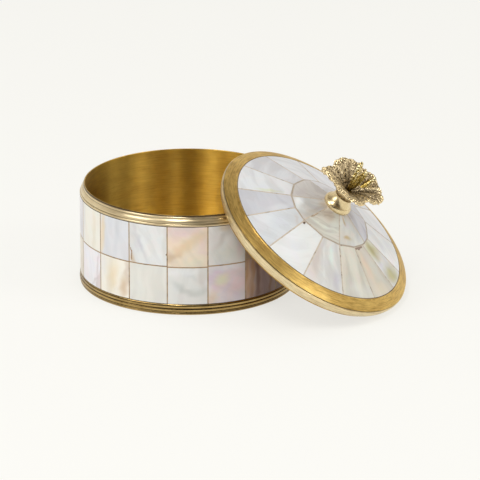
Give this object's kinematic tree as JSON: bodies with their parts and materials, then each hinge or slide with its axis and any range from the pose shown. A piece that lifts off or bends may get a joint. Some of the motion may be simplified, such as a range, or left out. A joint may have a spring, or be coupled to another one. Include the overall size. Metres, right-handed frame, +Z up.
{
  "type": "pill box",
  "caption": "Round brass box clad in pearl-shell tiles, with a lift-off low cone lid and a flower knob; the lid is off and leans on the box.",
  "frame": {"origin": "centre of the box's base, on the table", "axes": "+Z up along the box's axis; the lid leans on the +X -Y side, and the box's front faces -Y"},
  "size_m": [0.1511, 0.1271, 0.0683],
  "materials": {
    "drum_brass": "brushed, lightly aged",
    "ring_brass": "satin, turned",
    "lid_sheet_brass": "plain sheet",
    "collar_brass": "polished",
    "cast_brass": "pitted casting, dark in the hollows",
    "fastener_brass": "plain",
    "pearl_shell": "polished pearl shell, white to cream and pink",
    "resin": "tan resin"
  },
  "bodies": {
    "box": {"bottom_ring": "ring_brass", "box_floor": "drum_brass", "box_wall": "drum_brass", "side_bed": "resin", "side_tile_column_01": "pearl_shell", "side_tile_column_02": "pearl_shell", "side_tile_column_03": "pearl_shell", "side_tile_column_04": "pearl_shell", "side_tile_column_05": "pearl_shell", "side_tile_column_06": "pearl_shell", "side_tile_column_07": "pearl_shell", "side_tile_column_08": "pearl_shell", "side_tile_column_09": "pearl_shell", "side_tile_column_10": "pearl_shell", "side_tile_column_11": "pearl_shell", "side_tile_column_12": "pearl_shell", "side_tile_column_13": "pearl_shell", "side_tile_column_14": "pearl_shell", "side_tile_column_15": "pearl_shell", "side_tile_column_16": "pearl_shell", "side_tile_column_17": "pearl_shell", "top_ring": "ring_brass"},
    "lid": {"knob_collar": "collar_brass", "knob_flower": "cast_brass", "knob_nut": "fastener_brass", "knob_stamens": "cast_brass", "knob_stud": "fastener_brass", "knob_washer": "fastener_brass", "lid_bed": "resin", "lid_inner_tile_1": "pearl_shell", "lid_inner_tile_2": "pearl_shell", "lid_inner_tile_3": "pearl_shell", "lid_inner_tile_4": "pearl_shell", "lid_inner_tile_5": "pearl_shell", "lid_inner_tile_6": "pearl_shell", "lid_inner_tile_7": "pearl_shell", "lid_lip": "lid_sheet_brass", "lid_outer_tile_01": "pearl_shell", "lid_outer_tile_02": "pearl_shell", "lid_outer_tile_03": "pearl_shell", "lid_outer_tile_04": "pearl_shell", "lid_outer_tile_05": "pearl_shell", "lid_outer_tile_06": "pearl_shell", "lid_outer_tile_07": "pearl_shell", "lid_outer_tile_08": "pearl_shell", "lid_outer_tile_09": "pearl_shell", "lid_outer_tile_10": "pearl_shell", "lid_outer_tile_11": "pearl_shell", "lid_outer_tile_12": "pearl_shell", "lid_outer_tile_13": "pearl_shell", "lid_outer_tile_14": "pearl_shell", "lid_plate": "lid_sheet_brass", "lid_ring": "ring_brass"}
  },
  "joints": [
    {"name": "lid_lift", "type": "slide", "parent": "box", "child": "lid", "axis": [0, 0, 1], "range_m": [0, 0.12]}
  ]
}
